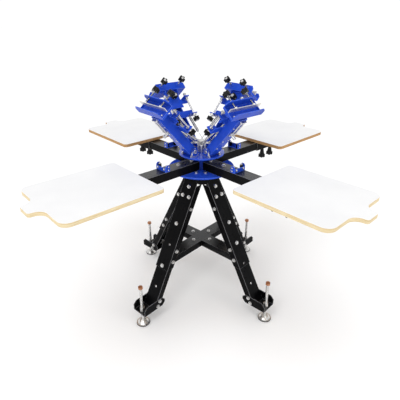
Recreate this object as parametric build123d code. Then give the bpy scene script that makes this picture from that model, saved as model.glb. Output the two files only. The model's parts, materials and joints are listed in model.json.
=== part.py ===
from build123d import *
import math
import os

# Four-colour, four-station carousel press for printing through framed screens.
# Units are millimetres. +Z is up and the origin is on the floor under the main spindle.
# Every sector piece is drawn along +X (outward), with +Y to the left of it, then turned to its azimuth.
# Head pieces are drawn with the head lowered and level, from the pivot axis, then raised.

# ---- layout ----
SECTORS = {"front_left": 225.0, "front_right": 315.0, "rear_right": 45.0, "rear_left": 135.0}
platen_turn = -5.0          # how far the platen carousel stands turned from the legs
head_turn = -7.1            # how far the head carousel stands turned from the legs
running_gap = 0.3           # between faces of pieces that move past each other
shaft_clearance = 0.05      # radial, shaft in its bore
bolt_clearance = 0.5        # radial, bolt in its hole

# ---- spindle and discs ----
spindle_radius = 18.0
spindle_flange_radius = 44.0
spindle_flange_thickness = 6.0
spindle_nut_flats = 38.0
spindle_nut_height = 11.0
stand_top = 806.0
lower_disc_radius = 186.0
lower_disc_thickness = 8.4
lower_hub_radius = 45.0
lower_hub_drop = 10.0       # from the disc's underside down to the spindle flange
upper_disc_radius = 127.0
upper_disc_thickness = 8.0
upper_hub_radius = 38.0
upper_hub_drop = 16.0       # from the upper disc's underside down to the lower hub
disc_spacing = 29.5         # from the top of the platen arms up to the upper disc

# ---- platen arms and platens ----
arm_width = 78.6
arm_height = 48.1
arm_wall = 3.0
arm_inner_end = 52.0
arm_outer_end = 655.0
bracket_start = 445.0
bracket_length = 195.0
bracket_wall = 4.0
bracket_top_plate = 2.5
board_thickness = 18.7
board_start = 433.5
board_length = 490.0
board_width = 450.0
board_corner = 45.0
board_inner_corner = 22.0
neck_length = 60.0
neck_width = 92.0
neck_blend = 46.0
neck_corner = 14.0
board_edge_round = 1.5
platen_knob_radii = (530.0, 612.0)
platen_knob_offset = -20.0  # sideways from the arm's centre line
platen_knob_neck = 45.0     # from the bracket's underside down to the knob
platen_knob_core = 15.5
platen_knob_lobe = 6.5
knob_neck_top = 8.0

# ---- registration gates ----
gate_radius = 272.0
gate_inner = 12.0           # from the posts' line in to the bracket's inner edge
gate_outer = 16.5           # and out to its outer face
gate_width = 80.0
gate_wall = 3.0
gate_height = 36.0
gate_wall_height = 22.0     # of the low wall, which the roller unit passes over
gate_corner = 8.0
post_spacing = 56.0
post_radius = 8.0
post_height = 26.0
post_bolt_radius = 5.0
post_head_height = 4.0

# ---- print heads ----
lift_angle = 48.7           # from level up to the raised rest
pivot_radius = 85.0
pivot_rise = 28.0           # from the upper disc to the pivot axis
pivot_pin_radius = 8.0
head_arm_width = 60.0
head_arm_wall = 4.0
head_arm_below = 26.3       # from the pivot axis down to the arm's underside
head_arm_above = 21.7
head_arm_length = 300.0
bearing_thickness = 12.0
bearing_radius = 18.0
bearing_foot_length = 50.0
bearing_foot_thickness = 6.0
bearing_gap = 3.0           # between the arm's side and the bearing
cross_plate_start = 150.0
cross_plate_length = 40.0
ear_span = 172.0            # across the ears of the cross plate and of the carriage
ear_height = 44.0
plate_thickness = 4.0
carriage_start = 215.0
carriage_width = 90.0
carriage_ear_start = 236.0
carriage_ear_length = 30.0
carriage_travel = 8.0
jaw_back = 325.0
jaw_depth = 45.8
screen_gap = 11.7           # from the boards up to the lowered jaws
jaw_above = 46.2
jaw_width = 208.0
jaw_corner_cut = 16.0
gusset_depth = 11.0
stud_radius = 5.0
stud_spread = 140.0         # between the two adjusting studs
stud_height = 50.0
stud_start = 130.0
stud_end = 290.0
stud_collar_radius = 14.0
stud_collar_length = 9.0
lock_knob_place = 285.0
lock_knob_lift = 38.0
bridge_reach = 18.0         # from the lock knob's stud back to the bridge's edge

# ---- screen clamp ----
press_height = 6.7          # underside of the pressing plate above the pivot axis
press_thickness = 3.0
press_start = 338.4
press_depth = 23.5
press_width = 210.0
press_boss_radius = 9.0
press_boss_height = 6.0
clamp_place = 353.2
clamp_spread = 123.0
clamp_screw_radius = 4.0
clamp_boss_radius = 9.0
clamp_boss_height = 8.0
clamp_knob_height = 86.0    # underside of the clamp knobs above the pivot axis

# ---- registration roller under the head arm ----
roller_radius = 8.5
roller_length = 27.0
roller_plate_length = 30.0
roller_plate_width = 30.0
roller_plate_thickness = 4.0
rod_radius = 3.5
rod_spread = 22.0
rod_length = 92.0
rod_drop = 5.0
rod_block_length = 8.0
rod_block_below = 5.0       # from the rods' centre line down to the blocks' underside
roller_plate_inner = 12.0   # from the roller's axle in to the plate's inner edge
axle_radius = 4.0
axle_head_radius = 7.0
axle_head_height = 2.0
rod_block_width = 34.0

# ---- lift springs ----
anchor_reach = 25.0
anchor_spread = 68.0
anchor_rise = 3.0           # from the top of the pivot bearings to the anchor plate
anchor_thickness = 5.0
anchor_finger_width = 9.0
anchor_core_radius = 26.0
anchor_hole_radius = 2.6
post_tube_radius = 24.0
spring_hook_spread = 88.0
spring_hook_height = 33.0
spring_coil_radius = 8.0
spring_coil_length = 100.0
spring_wire_radius = 2.2
spring_anchor_gap = 1.45    # from the anchor plate up to the middle of a spring's end
spring_hook_gap = 2.5       # from the cross plate's ear to the middle of a spring's other end

# ---- knobs, bolts and nuts ----
knob_lobes = 5
knob_core_radius = 13.0
knob_lobe_radius = 6.0
knob_height = 22.0
knob_edge = 2.0
bolt_radius = 5.0
bolt_head_flats = 17.0
bolt_head_height = 6.5

# ---- stand ----
stand_plate_size = 204.0
stand_plate_thickness = 8.0
stand_plate_cut = 55.0
skirt_depth = 41.0
skirt_top_width = 120.0
skirt_bottom_width = 42.0
skirt_wall = 4.0
leg_angle = 28.64           # of a leg from the vertical
leg_top_radius = 70.1       # outer face of a leg under the top plate
leg_wall = 4.0
upper_leg_width = 98.0
upper_leg_depth = 42.0
leg_fit = 0.3               # between the nested faces of the legs
flange_drop = 53.0          # from the top plate down to where the side flanges of the legs begin
upper_leg_drop = 3.0        # from the top plate down to the upper legs
lug_length = 208.0
lug_wall = 5.0
hole_pitch = 113.0          # height-setting holes down the legs
joint_bolt_height = 539.0
leg_end_above = 26.0        # from the highest joint bolt to the end of the lower leg
leg_end_below = 15.0        # from the lowest joint bolt to the end of the upper leg
side_bolt_depth = 21.0
lug_bolts = ((64.0, 0.0), (113.0, 24.0), (113.0, -24.0))  # down from the top plate, and across the leg
lug_side_bolt = 168.0
brace_height = 361.0
brace_flange = 40.0
brace_wall = 4.0
brace_bolt_radius = 70.0
brace_tab_below = 30.0      # from the top of the brace to the ends of its tabs
brace_tab_above = 60.0
brace_bolt_above = 46.0
brace_bolt_below = 11.0
foot_reach = 43.0           # from the leg's outer face out to the levelling foot
foot_bracket_behind = 88.0  # how far the bracket runs in and out from that face
foot_bracket_ahead = 65.0
foot_bracket_base = 84.0
foot_bracket_depth = 56.0
foot_bracket_wall = 4.0
foot_bracket_cut = 20.0
foot_bolt_rises = (54.0, 25.0)
foot_rod_radius = 8.0
foot_rod_top = 262.0
foot_nut_flats = 24.0
foot_nut_height = 13.0
foot_pad_radius = 37.0
foot_pad_height = 9.0
foot_pad_dome = 8.0

# ---- values worked out from the ones above ----
spindle_flange_top = stand_top + spindle_flange_thickness
lower_disc_base = spindle_flange_top + lower_hub_drop
arm_base = lower_disc_base + lower_disc_thickness
arm_top = arm_base + arm_height
upper_disc_top = arm_top + disc_spacing + upper_disc_thickness
hub_split = arm_top + disc_spacing - upper_hub_drop
bracket_top = arm_top + running_gap + bracket_top_plate
board_top = bracket_top + board_thickness
pivot_height = upper_disc_top + pivot_rise
jaw_below = pivot_height - board_top - screen_gap
anchor_height = pivot_height + bearing_radius + anchor_rise
bracket_base = arm_base - running_gap - bracket_wall
lift_rise = math.radians(lift_angle)
leg_lean = math.radians(leg_angle)
lower_leg_width = upper_leg_width - 2 * (leg_wall + leg_fit)
lower_leg_depth = upper_leg_depth - leg_wall - leg_fit
brace_width = lower_leg_width - 2 * (leg_wall + leg_fit)
plate_base = stand_top - stand_plate_thickness
flange_top = plate_base - flange_drop
upper_leg_top = plate_base - upper_leg_drop
lug_bottom = plate_base - lug_length
lower_leg_top = joint_bolt_height + leg_end_above
upper_leg_bottom = joint_bolt_height - 2 * hole_pitch - leg_end_below
brace_tab_low = brace_height - brace_tab_below
brace_tab_high = brace_height + brace_tab_above
brace_bolt_heights = (brace_height + brace_bolt_above, brace_height - brace_bolt_below)
foot_bracket_top = foot_bracket_base + foot_bracket_depth
leg_foot_radius = leg_top_radius + (plate_base - foot_bracket_base) * math.tan(leg_lean)
foot_radius = leg_foot_radius + foot_reach
foot_bracket_start = leg_foot_radius - foot_bracket_behind
foot_bracket_end = leg_foot_radius + foot_bracket_ahead
foot_bolt_heights = tuple(foot_bracket_base + rise for rise in foot_bolt_rises)
far = 2 * stand_top         # reach of cutting blocks, past every leg
gate_base = arm_top + gate_wall
carriage_base = head_arm_above + running_gap
carriage_top = carriage_base + plate_thickness
anchor_radius = math.hypot(anchor_reach, anchor_spread / 2)


# ---- basic shapes ----
def block(x0, x1, y0, y1, z0, z1):
    """A box between two corners."""
    return Pos((x0 + x1) / 2, (y0 + y1) / 2, (z0 + z1) / 2) * Box(x1 - x0, y1 - y0, z1 - z0)


def rod_between(start, end, radius):
    """A round bar from one point to another."""
    line = Vector(*end) - Vector(*start)
    return Plane(origin=start, z_dir=line) * extrude(Circle(radius), line.length)


def disc(radius, low, high, bore=0.0):
    """A round plate or tube on the Z axis."""
    face = Circle(radius) - Circle(bore) if bore else Circle(radius)
    return Pos(0, 0, low) * extrude(face, high - low)


def hexagon(flats, height):
    """A hexagon prism on the Z axis, by its width across flats."""
    return extrude(RegularPolygon(flats / 2, 6, major_radius=False), height)


def bolt(grip, radius=bolt_radius, head=True):
    """A hexagon bolt with its head above Z = 0 and its nut under the plates that it holds."""
    body = Pos(0, 0, -grip - bolt_head_height) * extrude(Circle(radius), grip + bolt_head_height)
    nut = Pos(0, 0, -grip - bolt_head_height) * hexagon(bolt_head_flats, bolt_head_height)
    if head:
        body += hexagon(bolt_head_flats, bolt_head_height)
    return body + nut


def star_knob(core=knob_core_radius, lobe=knob_lobe_radius):
    """A lobed hand knob standing on Z = 0."""
    face = Circle(core)
    for spot in PolarLocations(core, knob_lobes):
        face += spot * Circle(lobe)
    knob = extrude(face, knob_height)
    return chamfer(knob.edges().group_by(Axis.Z)[-1], knob_edge)


def turned(shape, sector, turn=0.0):
    """Turns a sector piece from the X axis to its azimuth."""
    return Rot(0, 0, SECTORS[sector] + turn) * shape


def raised(shape, sector):
    """Raises a head piece about its pivot and turns it to its azimuth."""
    lifted = Pos(pivot_radius, 0, pivot_height) * Rot(0, -lift_angle, 0) * shape
    return turned(lifted, sector, head_turn)


def head_point(x, y, h):
    """A point of a raised head in its sector frame."""
    return (
        pivot_radius + x * math.cos(lift_rise) - h * math.sin(lift_rise),
        y,
        pivot_height + x * math.sin(lift_rise) + h * math.cos(lift_rise),
    )


def export(name, *solids):
    """Writes one node, one solid or a group of separate solids."""
    bodies = []
    for item in solids:
        bodies.extend(item.solids())
    shape = bodies[0] if len(bodies) == 1 else Compound(children=bodies)
    shape.label = name
    export_step(shape, os.path.join("parts", name + ".step"))


# ---- stand ----
def leg_frame(height, depth=0.0, side=0.0):
    """A plane on a leg at a height: Z is the outward normal of its outer face, X runs down the leg."""
    radius = leg_top_radius + (plate_base - height) * math.tan(leg_lean)
    outward = Vector(math.cos(leg_lean), 0, math.sin(leg_lean))
    down = Vector(math.sin(leg_lean), 0, -math.cos(leg_lean))
    origin = Vector(radius, side, height) - outward * depth
    return Plane(origin=origin, x_dir=down, z_dir=outward)


def leg_channel(width, depth, inset, top, bottom):
    """A leg channel with its web outward, cut level at both ends."""
    half = width / 2
    shape = block(-far, far, -half, half, -inset - leg_wall, -inset)
    for side in (-1, 1):
        y = side * (half - leg_wall / 2)
        shape += block(-far, far, y - leg_wall / 2, y + leg_wall / 2, -inset - depth, -inset)
    return (leg_frame(plate_base) * shape) & level_slice(bottom, top)


def level_slice(low, high):
    """A level slab that cuts a leg piece between two heights."""
    return block(-far, far, -far, far, low, high)


def leg_hole(height, side=0.0):
    """A cutter for a bolt hole through the webs of a leg."""
    length = 3 * leg_wall
    hole = extrude(Circle(bolt_radius + bolt_clearance), length, both=True)
    return leg_frame(height, side=side) * hole


def leg_side_place(height):
    """Where a bolt through the side flanges of a leg sits: radius and height."""
    spot = leg_frame(height, depth=side_bolt_depth).origin
    return spot.X, spot.Z


def side_hole(height):
    """A cutter across both side flanges of a leg."""
    radius, level = leg_side_place(height)
    return rod_between(
        (radius, -upper_leg_width, level), (radius, upper_leg_width, level), bolt_radius + bolt_clearance
    )


def leg_joint_heights(sector):
    """Bolt heights of the joint between the two leg sections; the left legs use a lower hole."""
    second = joint_bolt_height - (2 if sector.endswith("left") else 1) * hole_pitch
    return joint_bolt_height, second


def make_upper_leg(sector):
    leg = leg_channel(upper_leg_width, upper_leg_depth, 0.0, flange_top, upper_leg_bottom)
    half = upper_leg_width / 2
    tab = leg_frame(plate_base) * block(-far, far, -half, half, -leg_wall, 0)
    leg += tab & level_slice(flange_top - leg_wall, upper_leg_top)
    for drop, side in lug_bolts:
        leg -= leg_hole(plate_base - drop, side)
    for step in range(3):
        leg -= leg_hole(joint_bolt_height - step * hole_pitch)
    for height in (plate_base - lug_side_bolt,) + brace_bolt_heights:
        leg -= side_hole(height)
    return turned(leg, sector)


def make_lower_leg(sector):
    bottom = foot_bracket_base + foot_bracket_wall + leg_fit
    leg = leg_channel(lower_leg_width, lower_leg_depth, leg_wall + leg_fit, lower_leg_top, bottom)
    for step in range(4):
        leg -= leg_hole(joint_bolt_height - step * hole_pitch)
    for height in brace_bolt_heights + foot_bolt_heights:
        leg -= side_hole(height)
    return turned(leg, sector)


def make_stand_top():
    size = stand_plate_size
    low = plate_base
    outline = chamfer(Rectangle(size, size).vertices(), stand_plate_cut)
    plate = Pos(0, 0, low) * extrude(outline, stand_plate_thickness)
    skirt_face = Polyline(
        (-skirt_top_width / 2, low),
        (skirt_top_width / 2, low),
        (skirt_bottom_width / 2, low - skirt_depth),
        (-skirt_bottom_width / 2, low - skirt_depth),
        close=True,
    )
    side = extrude(Plane.XZ.offset(size / 2 - skirt_wall) * make_face(skirt_face), skirt_wall)
    for quarter in range(4):
        plate += Rot(0, 0, 90 * quarter) * side
    half = lower_leg_width / 2
    for sector in SECTORS:
        lug_top = flange_top - lug_wall
        lug = leg_channel(lower_leg_width, lower_leg_depth, leg_wall + leg_fit, lug_top, lug_bottom)
        web = block(-far, far, -half, half, -leg_wall - leg_fit - lug_wall, -leg_wall - leg_fit)
        lug += (leg_frame(plate_base) * web) & level_slice(flange_top - 2 * lug_wall, low + 1)
        for drop, side_place in lug_bolts:
            lug -= leg_hole(plate_base - drop, side_place)
        plate += turned(lug - side_hole(plate_base - lug_side_bolt), sector)
    return plate - disc(spindle_radius + bolt_clearance, low - 10, stand_top + 10)


def brace_channel(start, end):
    """A stretch of the cross brace: web on top and a flange down each side."""
    low = brace_height - brace_flange
    half = brace_width / 2
    shape = block(start, end, -half, half, brace_height - brace_wall, brace_height)
    for side in (-1, 1):
        y = side * (half - brace_wall / 2)
        shape += block(start, end, y - brace_wall / 2, y + brace_wall / 2, low, brace_height)
    return shape


def brace_tabs():
    """The upright tabs at a brace end, inside the side flanges of the leg."""
    half = brace_width / 2
    tabs = []
    face_depth = leg_wall * 2 + leg_fit * 3
    sheet = leg_frame(plate_base) * block(-far, far, -half, half, -upper_leg_depth, -face_depth)
    sheet &= level_slice(brace_tab_low, brace_tab_high)
    for side in (-1, 1):
        y = side * (half - brace_wall / 2)
        tabs.append(sheet & block(0, far, y - brace_wall / 2, y + brace_wall / 2, 0, far))
    return tabs


def make_cross_brace():
    """One bar right through and two half bars that butt against it."""
    face_depth = 2 * leg_wall + 3 * leg_fit
    reach = leg_frame(brace_height, depth=face_depth).origin.X
    clear = leg_frame(plate_base) * block(-far, far, -far, far, -far, -face_depth)
    half_bar = brace_channel(brace_width / 2 + leg_fit, reach) & clear
    for tab in brace_tabs():
        half_bar += tab
    holes = [side_hole(height) for height in brace_bolt_heights]
    bolt_hole = Cylinder(bolt_radius + bolt_clearance, 4 * brace_wall)
    centre_hole = Pos(brace_bolt_radius, 0, brace_height) * bolt_hole
    half_bar = half_bar - holes - centre_hole
    inner = brace_channel(-brace_width / 2 - leg_fit, brace_width / 2 + leg_fit)
    through = turned(half_bar + inner, "front_left") + turned(half_bar, "rear_right")
    return [through, turned(half_bar, "front_right"), turned(half_bar, "rear_left")]


def make_foot_bracket(sector):
    """A channel that opens upward and outward, for the end of a leg and its levelling foot."""
    wall = foot_bracket_wall
    half = lower_leg_width / 2 + leg_fit
    base = block(foot_bracket_start + foot_bracket_cut, foot_bracket_end, -half - wall, half + wall,
                 foot_bracket_base, foot_bracket_base + wall)
    side_face = make_face(Polyline(
        (foot_bracket_start + foot_bracket_cut, foot_bracket_base),
        (foot_bracket_end, foot_bracket_base),
        (foot_bracket_end, foot_bracket_top - foot_bracket_cut),
        (foot_bracket_end - foot_bracket_cut, foot_bracket_top),
        (foot_bracket_start + foot_bracket_cut, foot_bracket_top),
        (foot_bracket_start, foot_bracket_top - foot_bracket_cut),
        (foot_bracket_start, foot_bracket_base + foot_bracket_cut),
        close=True,
    ))
    shape = base
    for y in (-half, half + wall):
        shape += extrude(Plane.XZ.offset(-y) * side_face, wall)
    shape -= Pos(foot_radius, 0, foot_bracket_base) * Cylinder(foot_rod_radius + shaft_clearance, 80)
    for height in foot_bolt_heights:
        shape -= side_hole(height)
    return turned(shape, sector)


def make_levelling_foot(sector):
    pad = disc(foot_pad_radius, 0, foot_pad_height)
    pad = chamfer(pad.edges().group_by(Axis.Z)[0], 1.5)
    dome = Pos(0, 0, foot_pad_height) * extrude(Circle(foot_pad_radius - 6), foot_pad_dome, taper=55)
    foot = pad + dome + disc(foot_rod_radius, 2, foot_rod_top)
    foot += Pos(0, 0, foot_pad_height + foot_pad_dome) * hexagon(foot_nut_flats, foot_nut_height)
    foot += Pos(0, 0, foot_rod_top - foot_nut_height) * hexagon(foot_nut_flats, foot_nut_height)
    return turned(Pos(foot_radius, 0, 0) * foot, sector)


def side_bolts(height, half_width, grip):
    """A bolt through each side flange, with its head outside."""
    radius, level = leg_side_place(height)
    pair = []
    for side in (-1, 1):
        place = Plane(origin=(radius, side * half_width, level), x_dir=(1, 0, 0), z_dir=(0, side, 0))
        pair.append(place * bolt(grip))
    return pair


def make_stand_bolts():
    bolts = []
    lug_grip = leg_wall + leg_fit + lug_wall
    joint_grip = 2 * leg_wall + leg_fit
    brace_grip = 2 * leg_wall + 2 * leg_fit + brace_wall
    foot_grip = foot_bracket_wall + leg_fit + leg_wall
    for sector in SECTORS:
        group = [leg_frame(plate_base - drop, side=side) * bolt(lug_grip) for drop, side in lug_bolts]
        group += [leg_frame(height) * bolt(joint_grip) for height in leg_joint_heights(sector)]
        for height in brace_bolt_heights:
            group += side_bolts(height, upper_leg_width / 2, brace_grip)
        for height in foot_bolt_heights:
            group += side_bolts(height, lower_leg_width / 2 + leg_fit + foot_bracket_wall, foot_grip)
        group += side_bolts(plate_base - lug_side_bolt, upper_leg_width / 2, lug_grip)
        group.append(Pos(brace_bolt_radius, 0, brace_height) * bolt(brace_wall))
        for step in range(2):
            low = foot_bracket_base + foot_bracket_wall + step * (foot_nut_height + running_gap)
            nut = hexagon(foot_nut_flats, foot_nut_height)
            nut -= disc(foot_rod_radius + shaft_clearance, -1, foot_nut_height + 1)
            group.append(Pos(foot_radius, 0, low) * nut)
        bolts += [turned(item, sector) for item in group]
    return bolts


def make_spindle():
    top = anchor_height + anchor_thickness + running_gap + spindle_nut_height
    shaft = disc(spindle_radius, stand_top - stand_plate_thickness - 30, top)
    shaft += disc(spindle_flange_radius, stand_top, spindle_flange_top - running_gap)
    low_nut = Pos(0, 0, stand_top - stand_plate_thickness - 16) * hexagon(spindle_nut_flats + 10, 16)
    top_nut = Pos(0, 0, top - spindle_nut_height) * hexagon(spindle_nut_flats + 4, spindle_nut_height)
    return shaft + low_nut + top_nut


# ---- platen carousel ----
def make_lower_disc():
    shape = disc(lower_disc_radius, lower_disc_base, arm_base)
    shape += disc(lower_hub_radius, spindle_flange_top, hub_split - running_gap)
    shape -= disc(spindle_radius + shaft_clearance, spindle_flange_top - 5, hub_split + 5)
    for x, y in disc_bolt_places():
        for sector in SECTORS:
            hole = Pos(x, y, arm_base) * Cylinder(bolt_radius + bolt_clearance, 40)
            shape -= turned(hole, sector, platen_turn)
    return shape


def disc_bolt_places():
    """Bolts through the lower disc in a sector frame: two through the arm and two beside it."""
    beside = Vector(109, 0).rotate(Axis.Z, 32)
    return [(172.0, 0.0), (75.5, 0.0), (beside.X, beside.Y), (beside.X, -beside.Y)]


def make_platen_arm(sector):
    shape = block(arm_inner_end, arm_outer_end, -arm_width / 2, arm_width / 2, arm_base, arm_top)
    inside = arm_width / 2 - arm_wall
    floor = arm_base + arm_wall
    shape -= block(arm_inner_end - 1, arm_outer_end + 1, -inside, inside, floor, arm_top - arm_wall)
    for x, y in disc_bolt_places()[:2]:
        shape -= Pos(x, y, (arm_base + arm_top) / 2) * Cylinder(bolt_radius + bolt_clearance, 80)
    for side in (-1, 1):
        shape -= Pos(gate_radius, side * post_spacing / 2, arm_top) * Cylinder(
            post_bolt_radius + bolt_clearance, 3 * arm_wall)
    return turned(shape, sector, platen_turn)


def make_gate(sector):
    """A short bracket across the arm: ears at both sides, a low wall at the outer end."""
    half = gate_width / 2
    start = gate_radius - gate_inner
    end = gate_radius + gate_outer
    shape = block(start, end, -half, half, arm_top, gate_base)
    for side in (-1, 1):
        y = side * (half - gate_wall / 2)
        shape += block(start, end, y - gate_wall / 2, y + gate_wall / 2, arm_top, arm_top + gate_height)
    top_edges = shape.edges().filter_by(Axis.Y).group_by(Axis.Z)[-1]
    shape = chamfer(top_edges, gate_corner)
    shape += block(end - gate_wall, end, -half, half, arm_top, arm_top + gate_wall_height)
    for side in (-1, 1):
        shape -= Pos(gate_radius, side * post_spacing / 2, arm_top) * Cylinder(
            post_bolt_radius + bolt_clearance, 40)
    return turned(shape, sector, platen_turn)


def make_gate_posts(sector):
    """Round posts on bolts, one each side of the gate."""
    posts = []
    for side in (-1, 1):
        post = disc(post_radius, gate_base, gate_base + post_height)
        post += disc(post_bolt_radius, arm_top - arm_wall - 4, gate_base + 1)
        post += Pos(0, 0, gate_base + post_height) * hexagon(12, post_head_height)
        post += Pos(0, 0, arm_top - arm_wall - 7) * hexagon(14, 7)
        posts.append(turned(Pos(gate_radius, side * post_spacing / 2, 0) * post, sector, platen_turn))
    return posts


def make_carousel_bolts():
    """Bolts that hold the arms to the lower disc, and those of its bearing ring."""
    bolts = []
    through, beside = disc_bolt_places()[:2], disc_bolt_places()[2:]
    for sector in SECTORS:
        for x, y in through:
            item = Pos(x, y, arm_top) * bolt(arm_height + lower_disc_thickness)
            bolts.append(turned(item, sector, platen_turn))
        for x, y in beside:
            bolts.append(turned(Pos(x, y, arm_base) * bolt(lower_disc_thickness), sector, platen_turn))
    return bolts


# ---- platens ----
def board_outline():
    """The board's plan: a rectangle with a short rounded neck at its outer end."""
    shoulder = board_start + board_length
    tip = shoulder + neck_length
    body = Pos(board_start + board_length / 2, 0) * Rectangle(board_length, board_width)
    neck = Pos(shoulder + neck_length / 2 - 10, 0) * Rectangle(neck_length + 20, neck_width)
    face = body + neck
    corners = face.vertices()
    tip_corners = [v for v in corners if abs(v.X - tip) < 0.01]
    roots = [v for v in corners if abs(v.X - shoulder) < 0.01 and abs(v.Y) < neck_width]
    outer = [v for v in corners if abs(v.X - shoulder) < 0.01 and abs(v.Y) > neck_width]
    inner = [v for v in corners if abs(v.X - board_start) < 0.01]
    face = fillet(roots, neck_blend)
    face = fillet(nearest(face, tip_corners), neck_corner)
    face = fillet(nearest(face, outer), board_corner)
    return fillet(nearest(face, inner), board_inner_corner)


def nearest(face, points):
    """The corners of a face at the given points."""
    return [min(face.vertices(), key=lambda v: (Vector(v) - Vector(p)).length) for p in points]


def make_board(sector):
    board = Pos(0, 0, bracket_top) * extrude(board_outline(), board_top - bracket_top)
    board = fillet(board.edges().group_by(Axis.Z)[-1], board_edge_round)
    return turned(board, sector, platen_turn)


def make_platen_bracket(sector):
    """A sleeve round the arm with a top plate that the board is screwed to."""
    end = bracket_start + bracket_length
    half = arm_width / 2 + running_gap
    outer = half + bracket_wall
    shape = block(bracket_start, end, -outer, outer, bracket_base, bracket_top)
    shape -= block(bracket_start - 1, end + 1, -half, half, arm_base - running_gap, arm_top + running_gap)
    for radius in platen_knob_radii:
        hole = Cylinder(bolt_radius + shaft_clearance, 4 * bracket_wall)
        shape -= Pos(radius, platen_knob_offset, bracket_base) * hole
    return turned(shape, sector, platen_turn)


def make_platen_knob(sector, radius):
    """A clamping knob that hangs under the bracket on a tapered neck."""
    tip = arm_base - 2 * running_gap
    shoulder = bracket_base - running_gap
    top = bracket_base - platen_knob_neck
    taper = math.degrees(math.atan2(platen_knob_core - knob_neck_top, shoulder - top))
    neck = Pos(0, 0, top) * extrude(Circle(platen_knob_core), shoulder - top, taper=taper)
    shape = disc(bolt_radius, top, tip) + neck
    shape += Pos(0, 0, top) * Rot(180, 0, 0) * star_knob(platen_knob_core, platen_knob_lobe)
    return turned(Pos(radius, platen_knob_offset, 0) * shape, sector, platen_turn)


# ---- head carousel ----
def bearing_offset():
    """From a head's centre line to the middle of a bearing."""
    return head_arm_width / 2 + bearing_gap + bearing_thickness / 2


def make_upper_disc():
    shape = disc(upper_disc_radius, upper_disc_top - upper_disc_thickness, upper_disc_top)
    shape += disc(upper_hub_radius, hub_split, upper_disc_top)
    return shape - disc(spindle_radius + shaft_clearance, hub_split - 5, upper_disc_top + 5)


def make_bearing(sector, side):
    """A pillow block with its two bolts."""
    half = bearing_thickness / 2
    middle = side * bearing_offset()
    shape = block(pivot_radius - bearing_foot_length / 2, pivot_radius + bearing_foot_length / 2,
                  -half, half, upper_disc_top, upper_disc_top + bearing_foot_thickness)
    shape += block(pivot_radius - bearing_radius, pivot_radius + bearing_radius,
                   -half, half, upper_disc_top, pivot_height)
    ring = Plane(origin=(pivot_radius, -half, pivot_height), x_dir=(1, 0, 0), z_dir=(0, 1, 0))
    shape += ring * extrude(Circle(bearing_radius), bearing_thickness)
    bore = extrude(Circle(pivot_pin_radius + shaft_clearance), bearing_thickness + 2)
    shape -= ring * Pos(0, 0, -1) * bore
    for end in (-1, 1):
        x = pivot_radius + end * (bearing_foot_length / 2 - 3)
        shape += Pos(x, 0, upper_disc_top + bearing_foot_thickness) * hexagon(8, 4)
    return turned(Pos(0, middle, 0) * shape, sector, head_turn)


def anchor_places():
    """Hook places of the anchor plate in a sector frame."""
    return [(anchor_reach, side * anchor_spread / 2) for side in (-1, 1)]


def make_spring_post():
    """A tube on the upper disc with a fingered plate that the springs hook into."""
    shape = disc(post_tube_radius, upper_disc_top, anchor_height)
    plate = disc(anchor_core_radius, anchor_height, anchor_height + anchor_thickness)
    for sector in SECTORS:
        for x, y in anchor_places():
            angle = math.degrees(math.atan2(y, x))
            reach = anchor_radius + anchor_finger_width / 2
            finger = block(0, reach, -anchor_finger_width / 2, anchor_finger_width / 2,
                           anchor_height, anchor_height + anchor_thickness)
            hook_hole = Cylinder(anchor_hole_radius, 4 * anchor_thickness)
            finger -= Pos(anchor_radius, 0, anchor_height) * hook_hole
            plate += turned(Rot(0, 0, angle) * finger, sector, head_turn)
    shape += plate
    return shape - disc(spindle_radius + shaft_clearance, upper_disc_top - 5, anchor_height + 20)


def make_springs(sector):
    """The outer shape of a head's two lift springs, each with a long hook to the anchor plate."""
    springs = []
    for side in (-1, 1):
        hook_level = anchor_height + anchor_thickness + spring_anchor_gap
        low = Vector(anchor_reach, side * anchor_spread / 2, hook_level)
        hook = (cross_plate_start - spring_hook_gap, side * spring_hook_spread / 2, spring_hook_height)
        high = Vector(*head_point(*hook))
        along = (low - high).normalized()
        lead = spring_coil_radius * 0.9
        coil_start = high + along * lead
        coil_end = coil_start + along * spring_coil_length
        shape = rod_between(tuple(high), tuple(low), spring_wire_radius)
        shape += rod_between(tuple(coil_start), tuple(coil_end), spring_coil_radius)
        springs.append(turned(shape, sector, head_turn))
    return springs


# ---- print heads, drawn lowered from the pivot axis ----
def make_head_arm(sector):
    """An upward-open channel with a round nose at the pivot and a cross plate with two ears."""
    half = head_arm_width / 2
    profile = block(0, head_arm_length, -half, half, -head_arm_below, head_arm_above)
    nose = Rot(90, 0, 0) * Cylinder(head_arm_below, head_arm_width)
    nose &= block(-head_arm_below, 1, -half, half, -head_arm_below, head_arm_above)
    shape = profile + nose
    inside = half - head_arm_wall
    shape -= block(-head_arm_below - 1, head_arm_length + 1, -inside, inside,
                   head_arm_wall - head_arm_below, head_arm_above + 1)
    shape -= Rot(90, 0, 0) * Cylinder(pivot_pin_radius + shaft_clearance, head_arm_width + 10)
    ear = ear_span / 2
    top = head_arm_above + plate_thickness
    cross_plate_end = cross_plate_start + cross_plate_length
    shape += block(cross_plate_start, cross_plate_end, -ear, ear, head_arm_above, top)
    for side in (-1, 1):
        y0, y1 = sorted((side * (half + plate_thickness), side * ear))
        shape += block(cross_plate_start, cross_plate_start + plate_thickness, y0, y1,
                       head_arm_above, head_arm_above + ear_height)
        shape -= stud_cutter(side, cross_plate_start)
    bridge = lock_knob_place - bridge_reach
    bridge_base = head_arm_above - plate_thickness
    shape += block(bridge, head_arm_length, -inside, inside, bridge_base, head_arm_above)
    shape -= Pos(lock_knob_place, 0, head_arm_above) * Cylinder(stud_radius + shaft_clearance, 30)
    return raised(shape, sector)


def stud_cutter(side, x, clearance=shaft_clearance):
    """A cutter for an adjusting stud through the ear that starts at x."""
    y = side * stud_spread / 2
    return rod_between((x - 10, y, stud_height), (x + 20, y, stud_height), stud_radius + clearance)


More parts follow.
